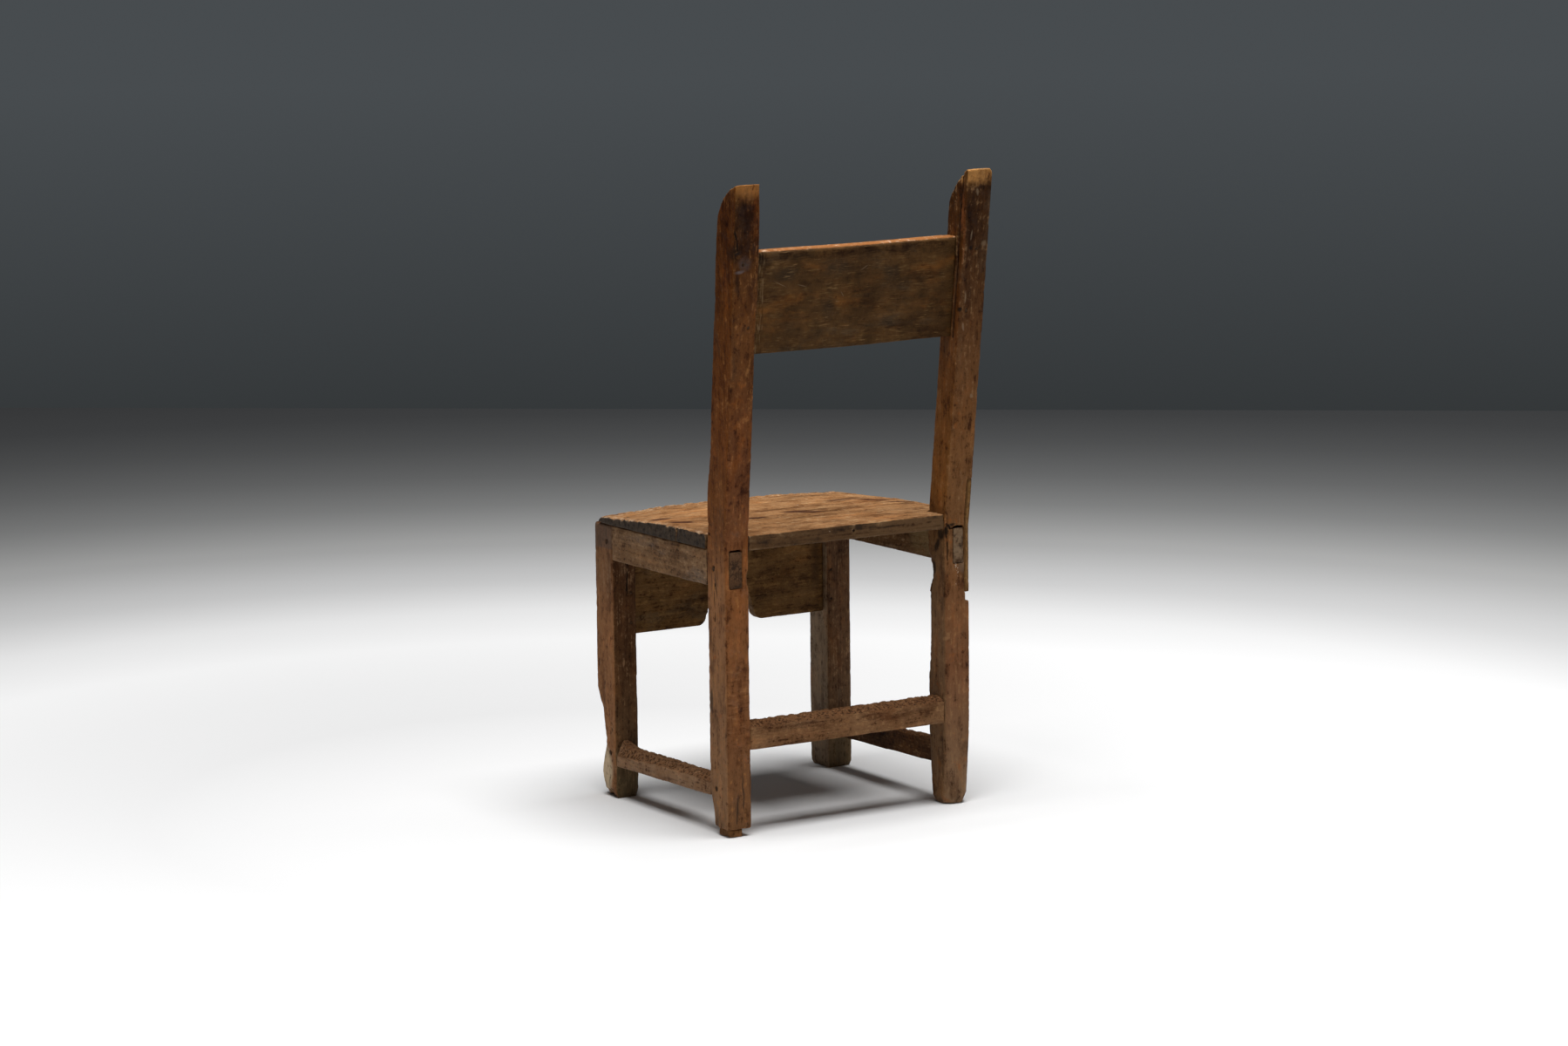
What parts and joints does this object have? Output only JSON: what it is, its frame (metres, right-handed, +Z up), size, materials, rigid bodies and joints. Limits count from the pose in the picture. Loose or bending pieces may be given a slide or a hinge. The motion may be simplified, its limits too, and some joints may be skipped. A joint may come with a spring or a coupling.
{
  "type": "wainscot chair",
  "caption": "Old joined side chair with raked square posts, a plain back panel between them, a worn plank seat, a deep arched front apron and low box stretchers.",
  "frame": {"origin": "on the floor, at the centre of the chair's bounding box", "axes": "+X to the sitter's left, +Y to the back, +Z up"},
  "size_m": [0.4178, 0.412, 0.9044],
  "materials": {
    "post_wood": "aged red-brown wood, hand-polished, dark at the top, pale on worn ends",
    "leg_wood": "aged brown wood, dry, with rot at the foot",
    "panel_wood": "dark olive-brown wood with fine ripple figure and rubbed patches",
    "seat_wood": "golden tan worn wood with dark cracks and grey end grain",
    "rail_wood": "dry grey-brown wood",
    "apron_wood": "dark brown rough-sawn wood",
    "stretcher_wood": "brown wood, crumbled along its worn top",
    "repair_wood": "ochre-brown wood, a little paler than the post",
    "foot_block_wood": "dark red-brown damp-stained wood",
    "peg_wood": "dark end-grain pegs",
    "iron": "rusted wrought iron"
  },
  "bodies": {
    "root": {"rear_post_left": "post_wood", "rear_post_right": "post_wood", "front_leg_left": "leg_wood", "front_leg_right": "leg_wood", "back_panel": "panel_wood", "seat_board_front": "seat_wood", "seat_board_rear": "seat_wood", "side_rail_left": "rail_wood", "side_rail_right": "rail_wood", "front_apron": "apron_wood", "rear_stretcher": "stretcher_wood", "side_stretcher_left": "stretcher_wood", "side_stretcher_right": "stretcher_wood", "post_repair_strip": "repair_wood", "rear_foot_block": "foot_block_wood", "foot_block_nail": "iron", "rail_pegs": "peg_wood", "stretcher_pegs": "peg_wood", "apron_pegs": "peg_wood", "panel_pegs": "peg_wood", "seat_nails": "iron"}
  },
  "joints": []
}
